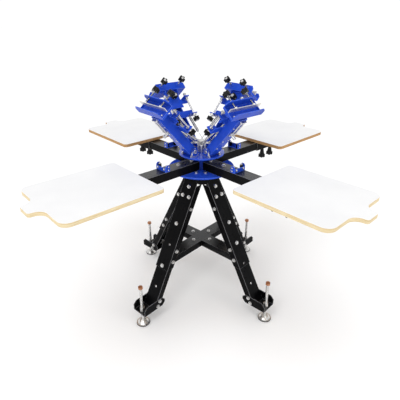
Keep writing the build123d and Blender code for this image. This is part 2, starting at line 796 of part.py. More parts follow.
def make_clamp_channel(sector):
    """The sliding carriage plate and the outward-open screen clamp welded to it."""
    half = carriage_width / 2
    shape = block(carriage_start, jaw_back + 1, -half, half, carriage_base, carriage_top)
    ear = ear_span / 2
    ear_end = carriage_ear_start + carriage_ear_length
    shape += block(carriage_ear_start, ear_end, -ear, ear, carriage_base, carriage_top)
    for side in (-1, 1):
        y0, y1 = sorted((side * (half + plate_thickness), side * ear))
        ear_top = head_arm_above + ear_height
        shape += block(ear_end - plate_thickness, ear_end, y0, y1, carriage_base, ear_top)
        shape -= stud_cutter(side, ear_end - plate_thickness)
    slot = SlotCenterToCenter(2 * carriage_travel, 2 * (stud_radius + bolt_clearance))
    shape -= Pos(lock_knob_place, 0, carriage_base - 1) * extrude(slot, plate_thickness + 2)
    shape += jaw()
    for side in (-1, 1):
        y = side * (half - plate_thickness / 2)
        rib = make_face(Polyline((jaw_back - 42, carriage_top - 1), (jaw_back + 1, carriage_top - 1),
                                 (jaw_back + 1, jaw_above), (jaw_back - 6, jaw_above), close=True))
        shape += extrude(Plane.XZ.offset(-y - plate_thickness / 2) * rib, plate_thickness)
    return raised(shape, sector)


def jaw():
    """The clamp: a back wall, a lower jaw, an upper flange and a gusset at each end."""
    half = jaw_width / 2
    front = jaw_back + jaw_depth
    shape = block(jaw_back, jaw_back + plate_thickness, -half, half, -jaw_below, jaw_above)
    for low in (-jaw_below, jaw_above - plate_thickness):
        flange = Pos((jaw_back + front) / 2, 0) * Rectangle(jaw_depth, jaw_width)
        outer = flange.vertices().group_by(Axis.X)[-1]
        flange = chamfer(outer, jaw_corner_cut)
        shape += Pos(0, 0, low) * extrude(flange, plate_thickness)
    for side in (-1, 1):
        y0, y1 = sorted((side * half, side * (half - plate_thickness)))
        shape += block(jaw_back, jaw_back + gusset_depth, y0, y1, -jaw_below, jaw_above)
        hole = Pos(clamp_place, side * clamp_spread / 2, jaw_above)
        shape -= hole * Cylinder(clamp_screw_radius + shaft_clearance, 3 * plate_thickness)
        boss = disc(clamp_boss_radius, jaw_above - 1, jaw_above + clamp_boss_height,
                    clamp_screw_radius + shaft_clearance)
        shape += Pos(clamp_place, side * clamp_spread / 2, 0) * boss
    return shape


def make_pressing_plate(sector):
    half = press_width / 2
    top = press_height + press_thickness
    shape = block(press_start, press_start + press_depth, -half, half, press_height, top)
    for side in (-1, 1):
        socket = disc(press_boss_radius, top - 0.5, top + press_boss_height)
        bore = clamp_screw_radius + shaft_clearance
        socket -= disc(bore, top + running_gap, top + press_boss_height + 1)
        shape += Pos(clamp_place, side * clamp_spread / 2, 0) * socket
    return raised(shape, sector)


def make_clamp_screw(sector, side):
    foot = press_height + press_thickness + 2 * running_gap
    shape = disc(clamp_screw_radius, foot, clamp_knob_height + 2)
    shape += Pos(0, 0, clamp_knob_height) * star_knob()
    return raised(Pos(clamp_place, side * clamp_spread / 2, 0) * shape, sector)


def make_head_fittings(sector):
    """Pivot pin, adjusting studs with knobs, lock knob and the registration roller on its rods."""
    pin_half = bearing_offset() + bearing_thickness / 2 + 3
    items = [rod_between((0, -pin_half, 0), (0, pin_half, 0), pivot_pin_radius)]
    for side in (-1, 1):
        y = side * stud_spread / 2
        stud = rod_between((stud_start - 2, y, stud_height), (stud_end, y, stud_height), stud_radius)
        collar_start = cross_plate_start - stud_collar_length
        stud += rod_between((collar_start, y, stud_height), (cross_plate_start, y, stud_height),
                            stud_collar_radius)
        stud += Plane(origin=(stud_start, y, stud_height), z_dir=(-1, 0, 0)) * star_knob()
        nut_place = Plane(origin=(cross_plate_start + plate_thickness, y, stud_height), z_dir=(1, 0, 0))
        stud += nut_place * hexagon(bolt_head_flats, bolt_head_height)
        items.append(stud)
    lock = disc(stud_radius, head_arm_above - plate_thickness, lock_knob_lift + 2)
    lock += disc(stud_radius + 7, carriage_top + running_gap, carriage_top + running_gap + 3)
    lock += Pos(0, 0, lock_knob_lift) * star_knob()
    items.append(Pos(lock_knob_place, 0, 0) * lock)
    items += roller_unit()
    return [raised(item, sector) for item in items]


def roller_unit():
    """The registration roller on a plate under the arm, with two rods held between blocks."""
    place = gate_radius - pivot_radius
    low = -head_arm_below - roller_plate_thickness
    half = roller_plate_width / 2
    start = place - roller_plate_inner
    near = start + roller_plate_length
    far = near + rod_length
    plate = block(start, near - rod_block_length, -half, half, low, -head_arm_below)
    rod_level = low - rod_drop
    wide = rod_block_width / 2
    items = []
    for end in (near, far):
        items.append(block(end - rod_block_length, end, -wide, wide, rod_level - rod_block_below,
                           -head_arm_below))
    for side in (-1, 1):
        y = side * rod_spread / 2
        items.append(rod_between((near, y, rod_level), (far - rod_block_length, y, rod_level), rod_radius))
    roller_top = low - running_gap
    roller_base = roller_top - roller_length
    axle_end = roller_base - running_gap
    axle = disc(axle_radius, axle_end, low)
    axle += disc(axle_head_radius, axle_end - axle_head_height, axle_end)
    roller = disc(roller_radius, roller_base, roller_top, axle_radius + shaft_clearance)
    return items + [plate, Pos(place, 0, 0) * axle, Pos(place, 0, 0) * roller]


# ---- build ----
os.makedirs("parts", exist_ok=True)
export("stand_top_plate", make_stand_top())
export("upper_legs", *[make_upper_leg(sector) for sector in SECTORS])
export("lower_legs", *[make_lower_leg(sector) for sector in SECTORS])
export("cross_brace", *make_cross_brace())
export("foot_brackets", *[make_foot_bracket(sector) for sector in SECTORS])
export("stand_bolts", *make_stand_bolts())
export("spindle", make_spindle())
export("lower_disc", make_lower_disc())
export("platen_arms", *[make_platen_arm(sector) for sector in SECTORS])
export("registration_gates", *[make_gate(sector) for sector in SECTORS])
export("gate_posts", *[post for sector in SECTORS for post in make_gate_posts(sector)])
export("carousel_bolts", *make_carousel_bolts())
export("upper_disc", make_upper_disc())
export("pivot_bearings", *[make_bearing(sector, side) for sector in SECTORS for side in (-1, 1)])
export("spring_post", make_spring_post())
export("lift_springs", *[spring for sector in SECTORS for spring in make_springs(sector)])
for sector in SECTORS:
    export("levelling_foot_" + sector, make_levelling_foot(sector))
    export("platen_board_" + sector, make_board(sector))
    export("platen_bracket_" + sector, make_platen_bracket(sector))
    for label, radius in zip(("inner", "outer"), platen_knob_radii):
        export(f"platen_knob_{sector}_{label}", make_platen_knob(sector, radius))
    export("head_arm_" + sector, make_head_arm(sector))
    export("clamp_channel_" + sector, make_clamp_channel(sector))
    export("pressing_plate_" + sector, make_pressing_plate(sector))
    for label, side in (("right", -1), ("left", 1)):
        export(f"clamp_screw_{sector}_{label}", make_clamp_screw(sector, side))
    export("head_fittings_" + sector, *make_head_fittings(sector))
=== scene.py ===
import json
import math

import bpy
from mathutils import Euler, Matrix, Vector


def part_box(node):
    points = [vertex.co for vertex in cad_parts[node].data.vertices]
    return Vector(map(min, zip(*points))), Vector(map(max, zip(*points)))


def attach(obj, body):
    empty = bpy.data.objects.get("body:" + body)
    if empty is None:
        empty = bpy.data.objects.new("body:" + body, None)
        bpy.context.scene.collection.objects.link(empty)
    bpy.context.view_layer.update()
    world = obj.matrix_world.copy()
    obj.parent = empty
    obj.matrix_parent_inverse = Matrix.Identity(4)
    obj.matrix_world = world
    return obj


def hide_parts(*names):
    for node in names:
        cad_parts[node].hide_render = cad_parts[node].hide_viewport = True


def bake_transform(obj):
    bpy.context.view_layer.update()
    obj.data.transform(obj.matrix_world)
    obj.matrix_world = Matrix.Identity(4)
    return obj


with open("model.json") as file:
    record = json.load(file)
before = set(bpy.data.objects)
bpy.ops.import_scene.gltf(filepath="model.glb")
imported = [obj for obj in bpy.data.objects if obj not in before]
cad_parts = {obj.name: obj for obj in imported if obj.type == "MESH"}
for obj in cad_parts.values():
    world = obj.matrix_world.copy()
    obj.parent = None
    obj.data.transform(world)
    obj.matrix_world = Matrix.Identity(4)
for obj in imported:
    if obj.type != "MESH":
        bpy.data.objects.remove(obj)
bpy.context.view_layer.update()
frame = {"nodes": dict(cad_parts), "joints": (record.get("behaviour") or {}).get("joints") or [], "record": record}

scene = bpy.context.scene

# ---- layout, in metres and radians, taken from the frame's joints and boxes ----
SECTORS = {"front_left": 225.0, "front_right": 315.0, "rear_right": 45.0, "rear_left": 135.0}
JOINTS = {joint["name"]: joint for joint in frame["joints"]}
ARM_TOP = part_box("platen_arms")[1].z
DISC_SPACING = 0.0295       # from the platen arms up to the upper disc
DISC_THICKNESS = 0.008
UPPER_DISC_TOP = ARM_TOP + DISC_SPACING + DISC_THICKNESS
FOOT_LOW, FOOT_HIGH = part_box("levelling_foot_front_right")
FOOT_RADIUS = (FOOT_LOW.x + FOOT_HIGH.x) / math.sqrt(2)
ROD_TOP = FOOT_HIGH.z
SIDES = (("left", 1), ("right", -1))


def joint_azimuth(name):
    axis = JOINTS[name]["axis"]
    return math.atan2(axis[1], axis[0])


def leg_matrix(sector):
    """From a sector drawn along +X to its place on the stand."""
    return Matrix.Rotation(math.radians(SECTORS[sector]), 4, "Z")


def platen_matrix(sector):
    return Matrix.Rotation(joint_azimuth(f"platen_{sector}_slide"), 4, "Z")


def carousel_matrix(sector):
    """A sector of the head carousel, which stands turned from the legs."""
    pivot = JOINTS[f"print_head_{sector}_lower"]["pos_m"]
    return Matrix.Rotation(math.atan2(pivot[1], pivot[0]), 4, "Z")


def head_matrix(sector):
    """From a lowered, level head drawn from its pivot axis to its raised place."""
    joint = JOINTS[f"print_head_{sector}_lower"]
    pivot = joint["pos_m"]
    lift = math.radians(joint["range_deg"][1])
    place = Matrix.Translation((math.hypot(pivot[0], pivot[1]), 0, pivot[2]))
    return carousel_matrix(sector) @ place @ Matrix.Rotation(-lift, 4, "Y")


# ---- camera, floor and light ----
CAMERA_PLACE = (-0.11300, -1.96566, 1.60029)    # fitted to the photograph
CAMERA_TURN = (63.3021, -0.1095, -2.9993)       # degrees about X, Y and Z
CAMERA_LENS = 33.073                            # mm, on a 36 mm sensor


def add_camera():
    data = bpy.data.cameras.new("camera")
    data.sensor_width = 36.0
    data.lens = CAMERA_LENS
    data.clip_end = 150.0
    camera = bpy.data.objects.new("camera", data)
    camera.location = CAMERA_PLACE
    camera.rotation_euler = Euler([math.radians(angle) for angle in CAMERA_TURN])
    scene.collection.objects.link(camera)
    scene.camera = camera


def add_area_light(name, place, target, size, power):
    data = bpy.data.lights.new(name, "AREA")
    data.shape = "RECTANGLE"
    data.size, data.size_y = size
    data.energy = power
    light = bpy.data.objects.new(name, data)
    light.location = place
    light.rotation_euler = (Vector(target) - Vector(place)).to_track_quat("-Z", "Y").to_euler()
    scene.collection.objects.link(light)


def add_sun():
    """A wide soft sun, nearly overhead, that lights the floor and the boards evenly."""
    data = bpy.data.lights.new("soft_sun", "SUN")
    data.energy = 0.9
    data.angle = math.radians(50)
    sun = bpy.data.objects.new("soft_sun", data)
    sun.rotation_euler = (math.radians(14), math.radians(-10), 0)
    scene.collection.objects.link(sun)


def add_floor():
    mesh = bpy.data.meshes.new("studio_floor")
    half = 60.0
    corners = [(-half, -half, 0), (half, -half, 0), (half, half, 0), (-half, half, 0)]
    mesh.from_pydata(corners, [], [(0, 1, 2, 3)])
    floor = bpy.data.objects.new("studio_floor", mesh)
    scene.collection.objects.link(floor)
    material = bpy.data.materials.new("studio_floor")
    material.use_nodes = True
    shader = material.node_tree.nodes["Principled BSDF"]
    shader.inputs["Base Color"].default_value = (0.985, 0.985, 0.985, 1)
    shader.inputs["Roughness"].default_value = 0.95
    shader.inputs["Specular IOR Level"].default_value = 0.05
    floor.data.materials.append(material)


def add_world():
    """White light from all round, a little weaker from above."""
    world = bpy.data.worlds.new("studio")
    world.use_nodes = True
    tree = world.node_tree
    background = tree.nodes["Background"]
    background.inputs["Color"].default_value = (1.0, 1.0, 1.0, 1)
    split = tree.nodes.new("ShaderNodeSeparateXYZ")
    fade = tree.nodes.new("ShaderNodeMapRange")
    tree.links.new(tree.nodes.new("ShaderNodeTexCoord").outputs["Generated"], split.inputs["Vector"])
    tree.links.new(split.outputs["Z"], fade.inputs["Value"])
    fade.inputs["From Min"].default_value = 0.15
    fade.inputs["From Max"].default_value = 0.7
    fade.inputs["To Min"].default_value = 1.05
    fade.inputs["To Max"].default_value = 0.72
    tree.links.new(fade.outputs["Result"], background.inputs["Strength"])
    scene.world = world
    scene.view_settings.view_transform = "Standard"


add_camera()
add_floor()
add_world()
add_sun()
add_area_light("key", (-1.9, -2.6, 2.9), (0, 0, 0.7), (0.9, 0.9), 16)
add_area_light("fill", (2.6, -2.0, 2.4), (0, 0, 0.8), (0.8, 0.8), 10)


# ---- materials ----
class Graph:
    """Small helper that builds a node material."""

    def __init__(self, name):
        self.material = bpy.data.materials.new(name)
        self.material.use_nodes = True
        self.tree = self.material.node_tree
        self.shader = self.tree.nodes["Principled BSDF"]
        self.coords = self.add("ShaderNodeTexCoord").outputs["Object"]

    def add(self, kind, **values):
        node = self.tree.nodes.new(kind)
        for key, value in values.items():
            setattr(node, key, value)
        return node

    def link(self, source, target):
        self.tree.links.new(source, target)

    def set(self, **values):
        for key, value in values.items():
            self.shader.inputs[key.replace("_", " ")].default_value = value

    def noise(self, scale, detail=3.0, roughness=0.55, stretch=(1, 1, 1)):
        mapping = self.add("ShaderNodeMapping")
        mapping.inputs["Scale"].default_value = stretch
        self.link(self.coords, mapping.inputs["Vector"])
        node = self.add("ShaderNodeTexNoise")
        node.inputs["Scale"].default_value = scale
        node.inputs["Detail"].default_value = detail
        node.inputs["Roughness"].default_value = roughness
        self.link(mapping.outputs["Vector"], node.inputs["Vector"])
        return node.outputs["Fac"]

    def ramp(self, source, stops):
        node = self.add("ShaderNodeValToRGB")
        elements = node.color_ramp.elements
        while len(elements) < len(stops):
            elements.new(0.5)
        for element, (place, colour) in zip(elements, stops):
            element.position = place
            element.color = (*colour, 1)
        self.link(source, node.inputs["Fac"])
        return node.outputs["Color"]

    def spread(self, source, low, high, start=0.0, end=1.0):
        node = self.add("ShaderNodeMapRange")
        node.inputs["From Min"].default_value = start
        node.inputs["From Max"].default_value = end
        node.inputs["To Min"].default_value = low
        node.inputs["To Max"].default_value = high
        self.link(source, node.inputs["Value"])
        return node.outputs["Result"]

    def upward(self):
        """How far the surface faces up, from -1 to 1."""
        split = self.add("ShaderNodeSeparateXYZ")
        self.link(self.add("ShaderNodeNewGeometry").outputs["True Normal"], split.inputs["Vector"])
        return split.outputs["Z"]

    def feed(self, name, source):
        self.link(source, self.shader.inputs[name])

    def bump(self, source, strength, distance):
        node = self.add("ShaderNodeBump")
        node.inputs["Strength"].default_value = strength
        node.inputs["Distance"].default_value = distance
        self.link(source, node.inputs["Height"])
        self.link(node.outputs["Normal"], self.shader.inputs["Normal"])


def black_powder_coat():
    g = Graph("black_powder_coat")
    stops = [(0.3, (0.002, 0.002, 0.0024)), (0.75, (0.005, 0.005, 0.0058))]
    g.feed("Base Color", g.ramp(g.noise(9), stops))
    g.feed("Roughness", g.spread(g.noise(35), 0.22, 0.36))
    # Faces that point up get a higher specular level than the sides: a painted sheen on the tops.
    g.feed("Specular IOR Level", g.spread(g.upward(), 0.05, 0.6, 0.8, 0.99))
    g.bump(g.noise(900, 2), 0.22, 0.0003)
    return g.material


def blue_enamel():
    g = Graph("blue_enamel")
    g.feed("Base Color", g.ramp(g.noise(12), [(0.3, (0.012, 0.056, 0.46)), (0.75, (0.02, 0.08, 0.62))]))
    g.feed("Roughness", g.spread(g.noise(40), 0.16, 0.28))
    # Faces that point up get a higher specular level than the sides: a painted sheen on the tops.
    g.feed("Specular IOR Level", g.spread(g.upward(), 0.08, 0.9, 0.85, 0.99))
    g.bump(g.noise(700, 2), 0.16, 0.0003)
    return g.material


def rounded_edge(name, first, second):
    """A glossy material for the rounded edges of pressed steel, its colour much lighter than the paint: a painted
    highlight along the edges.
    """
    g = Graph(name)
    g.feed("Base Color", g.ramp(g.noise(25), [(0.3, first), (0.7, second)]))
    g.feed("Roughness", g.spread(g.noise(90), 0.12, 0.3))
    g.bump(g.noise(900, 2), 0.1, 0.0002)
    g.set(Specular_IOR_Level=0.9)
    return g.material


def zinc_plate():
    g = Graph("zinc_plate")
    g.feed("Base Color", g.ramp(g.noise(60), [(0.3, (0.66, 0.655, 0.645)), (0.7, (0.73, 0.72, 0.7))]))
    g.feed("Roughness", g.spread(g.noise(160), 0.22, 0.34))
    g.bump(g.noise(1500, 2), 0.08, 0.0001)
    g.set(Metallic=1.0)
    return g.material


def satin_plate():
    """The pale, finely brushed face of a pressing plate."""
    g = Graph("satin_plate")
    streaks = g.noise(18, stretch=(1, 1, 4))
    g.feed("Base Color", g.ramp(streaks, [(0.3, (0.78, 0.75, 0.69)), (0.7, (0.86, 0.84, 0.79))]))
    g.feed("Roughness", g.spread(g.noise(50), 0.34, 0.42))
    g.bump(g.noise(700, 2, stretch=(1, 1, 6)), 0.04, 0.0001)
    g.set(Metallic=0.75)
    return g.material


def polished_steel():
    g = Graph("polished_steel")
    g.feed("Base Color", g.ramp(g.noise(30), [(0.35, (0.56, 0.56, 0.56)), (0.7, (0.72, 0.71, 0.7))]))
    g.feed("Roughness", g.spread(g.noise(120, stretch=(1, 1, 12)), 0.1, 0.2))
    g.bump(g.noise(2400, 2), 0.06, 0.0001)
    g.set(Metallic=1.0)
    return g.material


def copper_wash():
    g = Graph("copper_wash")
    g.feed("Base Color", g.ramp(g.noise(90), [(0.3, (0.36, 0.15, 0.07)), (0.7, (0.55, 0.27, 0.15))]))
    g.feed("Roughness", g.spread(g.noise(140), 0.25, 0.42))
    g.bump(g.noise(1400, 2), 0.15, 0.0002)
    g.set(Metallic=1.0)
    return g.material


def white_laminate():
    g = Graph("white_laminate")
    g.feed("Base Color", g.ramp(g.noise(5), [(0.3, (0.81, 0.81, 0.815)), (0.7, (0.85, 0.85, 0.85))]))
    g.feed("Roughness", g.spread(g.noise(60), 0.38, 0.5))
    g.bump(g.noise(1200, 2), 0.08, 0.0002)
    g.set(Specular_IOR_Level=0.3)
    return g.material


def layered_edge(name, dark, middle, light):
    """The layers of a board's edge, thin in height and long along the board."""
    g = Graph(name)
    layers = g.noise(14, 4, 0.6, stretch=(1, 1, 28))
    g.feed("Base Color", g.ramp(layers, [(0.3, dark), (0.5, middle), (0.72, light)]))
    g.feed("Roughness", g.spread(g.noise(90), 0.55, 0.75))
    g.bump(layers, 0.3, 0.0006)
    g.set(Specular_IOR_Level=0.2)
    return g.material


def knob_plastic():
    g = Graph("knob_plastic")
    stops = [(0.3, (0.003, 0.003, 0.0035)), (0.7, (0.007, 0.007, 0.0075))]
    g.feed("Base Color", g.ramp(g.noise(80), stops))
    g.feed("Roughness", g.spread(g.noise(220), 0.22, 0.36))
    g.bump(g.noise(2200, 2), 0.2, 0.0002)
    g.set(Specular_IOR_Level=0.22)
    return g.material


BLACK = black_powder_coat()
BLUE = blue_enamel()
ZINC = zinc_plate()
STEEL = polished_steel()
SATIN = satin_plate()
COPPER = copper_wash()
WHITE = white_laminate()
# The front boards' edges get a paler copy of the tan edge colour: painted light for the front light on those
# edges.
FRONT_LIT_BOARD_EDGE = layered_edge("pale_board_edge", (0.6, 0.44, 0.22), (0.76, 0.62, 0.38), (0.86, 0.76, 0.54))
TAN_EDGE = layered_edge("tan_board_edge", (0.3, 0.15, 0.055), (0.48, 0.27, 0.11), (0.62, 0.4, 0.2))
KNOB = knob_plastic()
# Edge colours far lighter than the black and blue paint: painted highlights along the bevelled edges.
BLACK_EDGE_HIGHLIGHT = rounded_edge("black_edge_highlight", (0.10, 0.10, 0.11), (0.2, 0.2, 0.21))
BLUE_EDGE_HIGHLIGHT = rounded_edge("blue_edge_highlight", (0.06, 0.15, 0.72), (0.1, 0.22, 0.86))
SLOTS = {
    "black_powder_coat": BLACK,
    "blue_paint": BLUE,
    "zinc_steel": ZINC,
    "laminated_board": WHITE,
    "knob_plastic": KNOB,
}


# ---- CAD nodes ----
def repaint(name, material, test):
    """Gives the faces of a CAD node that pass the test another material."""
    mesh = frame["nodes"][name].data
    mesh.materials.append(material)
    index = len(mesh.materials) - 1
    for face in mesh.polygons:
        if test(face.center, face.normal):
            face.material_index = index


def paint_nodes():
    slot_of = {entry["node"]: entry["material_slot"] for entry in frame["record"]["subparts"]}
    for name, node in frame["nodes"].items():
        node.data.materials.clear()
        node.data.materials.append(SLOTS[slot_of[name]])


def paint_boards():
    for sector in SECTORS:
        # Front boards take the paler edge colour, a painted lit tone; rear boards keep the tan.
        edge = FRONT_LIT_BOARD_EDGE if sector.startswith("front") else TAN_EDGE
        name = f"platen_board_{sector}"
        repaint(name, edge, lambda centre, normal: abs(normal.z) < 0.7)
        repaint(name, TAN_EDGE, lambda centre, normal: normal.z < -0.7)


# Heights and distances in a head's frame, from its pivot axis.
KNOB_REACH = 0.1305         # the adjusting knobs lie inside this distance
STUD_LEVEL = 0.05
KNOB_HALF = 0.03            # more than half an adjusting knob
STUD_CLEAR = 0.045          # beside the arm, where only the studs' knobs stand
LOCK_KNOB_LEVEL = 0.0375
LOCK_KNOB_AFTER = 0.2
CLAMP_KNOB_LEVEL = 0.085
# Heights and distances of other painted faces.
BEARING_FOOT = 0.008        # above the upper disc
BEARING_PLACE = 0.085       # from the spindle out to the pivot axis
BEARING_REACH = 0.06
POST_FOOT = 0.006           # above the upper disc
GATE_POST_BODY = 0.0289     # above the platen arms
TOP_NUT = 0.0132            # below the top of a levelling rod


def paint_head(sector):
    """Black knobs on the zinc studs and screws of a head."""
    to_head = head_matrix(sector).inverted()

    def on_fitting_knob(centre, normal):
        place = to_head @ centre
        beside_arm = abs(place.y) > STUD_CLEAR
        adjusting = place.x < KNOB_REACH and place.z > STUD_LEVEL - KNOB_HALF and beside_arm
        locking = place.z > LOCK_KNOB_LEVEL and abs(place.y) < KNOB_HALF and place.x > LOCK_KNOB_AFTER
        return adjusting or locking

    def on_clamp_knob(centre, normal):
        return (to_head @ centre).z > CLAMP_KNOB_LEVEL

    repaint(f"head_fittings_{sector}", KNOB, on_fitting_knob)
    for label in ("left", "right"):
        repaint(f"clamp_screw_{sector}_{label}", KNOB, on_clamp_knob)


def paint_bearings():
    """Blue cheeks on the pivot bearings, with bright rims."""
    for sector in SECTORS:
        side_way = carousel_matrix(sector).to_3x3() @ Vector((0, 1, 0))
        middle = carousel_matrix(sector) @ Vector((BEARING_PLACE, 0, 0))

        def on_cheek(centre, normal):
            near = (Vector((centre.x, centre.y, 0)) - middle).length < BEARING_REACH
            above_foot = centre.z > UPPER_DISC_TOP + BEARING_FOOT
            return near and above_foot and abs(normal.dot(side_way)) > 0.9

        repaint("pivot_bearings", BLUE, on_cheek)


def paint_feet():
    for sector in SECTORS:
        repaint(f"levelling_foot_{sector}", COPPER, lambda centre, normal: centre.z > ROD_TOP - TOP_NUT)


def paint_posts():
    repaint("gate_posts", ZINC, lambda centre, normal: centre.z > ARM_TOP + GATE_POST_BODY)


def paint_pressing_plates():
    for sector in SECTORS:
        repaint(f"pressing_plate_{sector}", SATIN, lambda centre, normal: True)


def paint_spring_post():
    repaint("spring_post", ZINC, lambda centre, normal: centre.z > UPPER_DISC_TOP + POST_FOOT)


def round_edges(name, width, paint):
    """A small bevel on the sharp edges of a CAD node, in the given lighter material, a painted highlight so that
    they catch the light.
    """
    node = frame["nodes"][name]
    node.data.materials.append(paint)
    joined = node.modifiers.new("joined_faces", "WELD")
    joined.merge_threshold = 0.00001
    bevel = node.modifiers.new("edge_round", "BEVEL")
    bevel.width = width
    bevel.segments = 2
    bevel.limit_method = "ANGLE"
    bevel.angle_limit = math.radians(50)
    bevel.harden_normals = True
    bevel.material = len(node.data.materials) - 1


paint_nodes()
paint_boards()
paint_bearings()
paint_feet()
paint_posts()
paint_spring_post()
paint_pressing_plates()
for sector in SECTORS:
    paint_head(sector)
for name in ("upper_legs", "lower_legs", "foot_brackets", "cross_brace", "platen_arms",
             "stand_top_plate"):
    round_edges(name, 0.0012, BLACK_EDGE_HIGHLIGHT)
for name in ("registration_gates", "upper_disc", "lower_disc"):
    round_edges(name, 0.0009, BLUE_EDGE_HIGHLIGHT)
for sector in SECTORS:
    round_edges(f"platen_bracket_{sector}", 0.001, BLACK_EDGE_HIGHLIGHT)
    for name in ("head_arm", "clamp_channel"):
        round_edges(f"{name}_{sector}", 0.0007, BLUE_EDGE_HIGHLIGHT)
    round_edges(f"pressing_plate_{sector}", 0.0005, STEEL)


# ---- mesh pieces ----
def along(start, end):
    """A matrix at start whose Z axis points to end."""
    start, end = Vector(start), Vector(end)
    turn = (end - start).to_track_quat("Z", "Y").to_matrix().to_4x4()
    return Matrix.Translation(start) @ turn


def raised(height):
    return Matrix.Translation((0, 0, height))


def facing_out(x, y, z):
    """A matrix at a place whose Z axis points outward, along X."""
    return along((x, y, z), (1, y, z))


def facing_down(x, y, z):
    """A matrix at a place whose Z axis points down."""
    return along((x, y, z), (x, y, -1))


def placed(shape, matrix):
    points, polygons = shape
    return [matrix @ Vector(p) for p in points], polygons


def join_shapes(shapes):
    """One vertex list and face list from several (vertices, faces) pairs."""
    points, polygons = [], []
    for more_points, more_polygons in shapes:
        start = len(points)
        points += more_points
        polygons += [tuple(index + start for index in polygon) for polygon in more_polygons]
    return points, polygons


def make_piece(name, shapes, body, material):
    """One object from several shapes, which rides on a body of the frame."""
    points, polygons = join_shapes(shapes)
    mesh = bpy.data.meshes.new(name)
    mesh.from_pydata([Vector(p) for p in points], [], polygons)
    mesh.materials.append(material)
    for face in mesh.polygons:
        face.use_smooth = True
    piece = bpy.data.objects.new(name, mesh)
    scene.collection.objects.link(piece)
    if body:
        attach(piece, body)
    return piece


def lathe(profile, segments=32):
    """A solid turned about Z from a profile of (radius, height). A closed profile gives a ring."""
    points, polygons, rings = [], [], []
    for radius, height in profile:
        count = 1 if radius < 1e-7 else segments
        ring = []
        for step in range(count):
            angle = 2 * math.pi * step / segments
            ring.append(len(points))
            points.append((radius * math.cos(angle), radius * math.sin(angle), height))
        rings.append(ring)
    for lower, upper in zip(rings, rings[1:]):
        for step in range(segments):
            following = (step + 1) % segments
            if len(lower) == 1:
                polygons.append((lower[0], upper[following], upper[step]))
            elif len(upper) == 1:
                polygons.append((lower[step], lower[following], upper[0]))
            else:
                polygons.append((lower[step], lower[following], upper[following], upper[step]))
    return points, polygons


def washer(outer, inner, thickness):
    """A flat ring from Z = 0 up, with its outer edge broken."""
    edge = thickness * 0.25
    return lathe([(inner, 0), (outer, 0), (outer, thickness - edge), (outer - edge, thickness),
                  (inner, thickness), (inner, 0)], 28)


def hex_nut(flats, height, bore):
    """A hexagon nut from Z = 0 up, with chamfered corners."""
    outer = flats / math.sqrt(3)
    face = outer * 0.92
    edge = 0.12 * height
    return lathe([(bore, 0), (face, 0), (outer, edge), (outer, height - edge),
                  (face, height), (bore, height), (bore, 0)], 6)


def tube_along(path, radius, sides=8):
    """A round tube with capped ends along a list of points. The radius may differ from point to point."""
    points, polygons = [], []
    path = [Vector(p) for p in path]
    radii = radius if isinstance(radius, list) else [radius] * len(path)
    normal = (path[1] - path[0]).orthogonal().normalized()
    for index, centre in enumerate(path):
        ahead = path[min(index + 1, len(path) - 1)]
        behind = path[max(index - 1, 0)]
        tangent = (ahead - behind).normalized()
        normal = (normal - tangent * normal.dot(tangent)).normalized()
        side = tangent.cross(normal)
        for step in range(sides):
            angle = 2 * math.pi * step / sides
            points.append(centre + radii[index] * (math.cos(angle) * normal + math.sin(angle) * side))
    for index in range(len(path) - 1):
        for step in range(sides):
            following = (step + 1) % sides
            a, b = index * sides, (index + 1) * sides
            polygons.append((a + step, a + following, b + following, b + step))
    polygons.append(tuple(reversed(range(sides))))
    polygons.append(tuple(range((len(path) - 1) * sides, len(path) * sides)))
    return points, polygons


def weld(start, end, radius=0.0022, ripple=0.0026):
    """A rippled weld bead from start to end, half sunk in the corner that it fills."""
    start, end = Vector(start), Vector(end)
    count = max(6, int((end - start).length / ripple * 3))
    path = [start.lerp(end, step / count) for step in range(count + 1)]
    radii = [bead_radius(radius, step) for step in range(count + 1)]
    radii[0] = radii[-1] = radius * 0.45
    return tube_along(path, radii, 8)


def thread(radius, length, pitch=0.0016, depth=0.00035, sides=16):
    """A helical ridge round a rod on the Z axis, from Z = 0 up to length."""
    points, polygons = [], []
    steps = int(length / pitch * sides)
    for step in range(steps + 1):
        angle = 2 * math.pi * step / sides
        fade = min(1.0, step / sides, (steps - step) / sides)
        height = step / sides * pitch
        for lift, out in ((-0.45, -0.0002), (0.0, depth * fade), (0.45, -0.0002)):
            reach = radius + out
            points.append((reach * math.cos(angle), reach * math.sin(angle), height + lift * pitch))
    for step in range(steps):
        a, b = 3 * step, 3 * step + 3
        polygons += [(a, b, b + 1, a + 1), (a + 1, b + 1, b + 2, a + 2), (a + 2, b + 2, b, a)]
    polygons.append((0, 1, 2))
    polygons.append((3 * steps + 2, 3 * steps + 1, 3 * steps))
    return points, polygons


# ---- lift springs ----
SPRING_LOW = (0.025, 0.034, 0.97145)    # hook at the anchor plate, in a carousel sector
SPRING_HIGH = (0.1475, 0.044, 0.033)    # hook at the cross plate's ear, in a head's frame
COIL_RADIUS = 0.0067
COIL_LENGTH = 0.1
COIL_LEAD = 0.0072
COIL_TURNS = 30
SPRING_WIRE = 0.0013


def spring_path(low, high):
    """Centre line of a tension spring: straight lead, coils and a long straight rod."""
    span = (low - high).length
    place = along(high, low)
    points = [(0, 0, 0), (0, 0, 0.0015)]
    steps = 14
    total = COIL_TURNS * steps
    for step in range(total + 1):
        angle = 2 * math.pi * step / steps
        widening = 3 * min(step, total - step) / steps + 0.15
        reach = COIL_RADIUS * min(1.0, widening)
        height = COIL_LEAD + step / total * COIL_LENGTH
        points.append((reach * math.cos(angle), reach * math.sin(angle), height))
    end = COIL_LEAD + COIL_LENGTH
    points += [(0, 0, end + 0.004), (0, 0, end + 0.012), (0, 0, span)]
    return [place @ Vector(p) for p in points]


